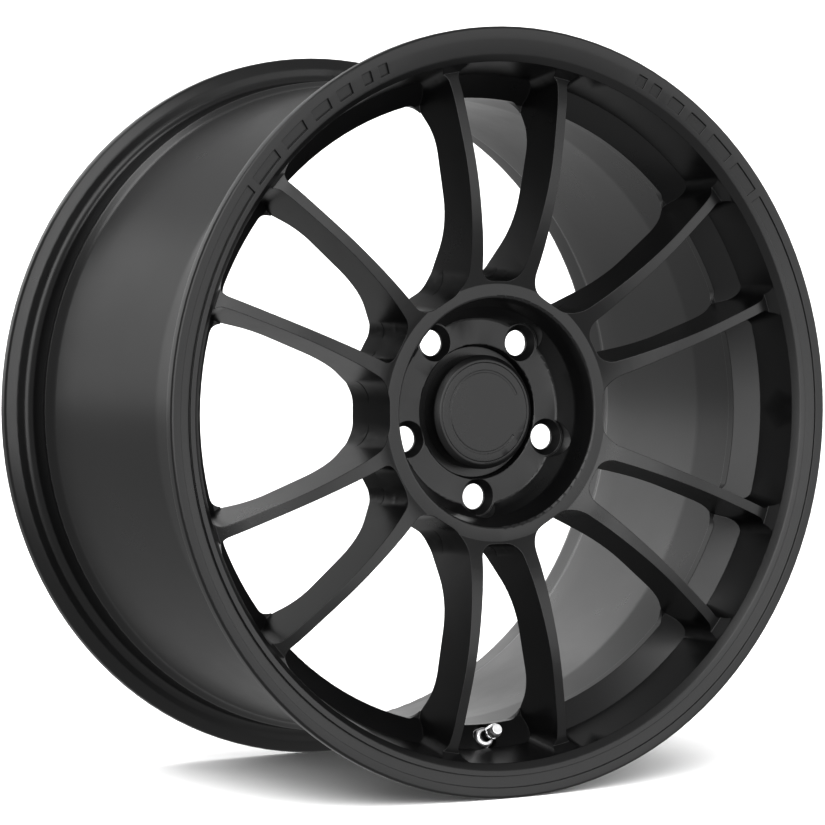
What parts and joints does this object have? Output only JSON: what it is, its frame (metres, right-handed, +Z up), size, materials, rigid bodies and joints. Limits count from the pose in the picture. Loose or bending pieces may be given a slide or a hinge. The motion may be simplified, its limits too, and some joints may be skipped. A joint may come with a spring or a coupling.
{
  "type": "car wheel rim",
  "caption": "Forged one-piece wheel rim with slim paired spokes, a stepped outer lip, a snap-in centre cap and a clamp-in tyre valve.",
  "frame": {"origin": "on the spin axis, half way between the two flange faces", "axes": "+Y along the spin axis from the outboard face to the car, +Z up, +X to the right seen from outboard; the valve is at the bottom"},
  "size_m": [0.497, 0.2626, 0.497],
  "materials": {
    "satin_black_paint": "satin black powder coat on forged aluminium",
    "black_plastic": "fine satin",
    "black_badge": "satin",
    "foam_tape": "matte foam",
    "spring_steel": "drawn wire",
    "dark_stem_metal": "black passivated",
    "black_rubber": "matte",
    "chrome": "polished",
    "brass": "bright",
    "red_seal": "smooth"
  },
  "bodies": {
    "wheel": {"wheel_forging": "satin_black_paint", "valve_stem": "dark_stem_metal", "valve_inner_grommet": "black_rubber", "valve_outer_grommet": "black_rubber", "valve_washer": "chrome", "valve_nut": "chrome", "core_swivel": "brass", "core_barrel": "brass", "core_barrel_gasket": "red_seal", "core_spring": "spring_steel", "core_spring_cup": "brass"},
    "centre_cap": {"cap_shell": "black_plastic", "cap_medallion": "black_badge", "cap_adhesive_pad": "foam_tape", "cap_spring_ring": "spring_steel"},
    "valve_pin": {"core_pin": "brass", "core_cup": "brass", "core_cup_gasket": "black_rubber"},
    "cap_seal": {"valve_cap_seal": "black_rubber"},
    "dust_cap": {"valve_cap": "chrome"}
  },
  "joints": [
    {"name": "centre_cap_pull", "type": "slide", "parent": "wheel", "child": "centre_cap", "axis": [0, -1, 0], "range_m": [0, 0.035], "deforming": ["cap_spring_ring"]},
    {"name": "valve_pin_push", "type": "slide", "parent": "wheel", "child": "valve_pin", "axis": [0, 0.9135, -0.4067], "range_m": [0, 0.0013], "stiffness_N_per_m": 600, "springref_m": -0.0015, "deforming": ["core_spring"]},
    {"name": "dust_cap_lift", "type": "slide", "parent": "wheel", "child": "cap_seal", "axis": [0, -0.9135, 0.4067], "range_m": [0, 0.00655]},
    {"name": "dust_cap_turn", "type": "hinge", "parent": "cap_seal", "child": "dust_cap", "pos_m": [0, -0.10107, -0.20857], "axis": [0, -0.9135, 0.4067], "range_deg": [0, 2970]}
  ],
  "couplings": [
    {"joint": "dust_cap_turn", "follows": "dust_cap_lift", "rad_per_m": 7915.8}
  ]
}
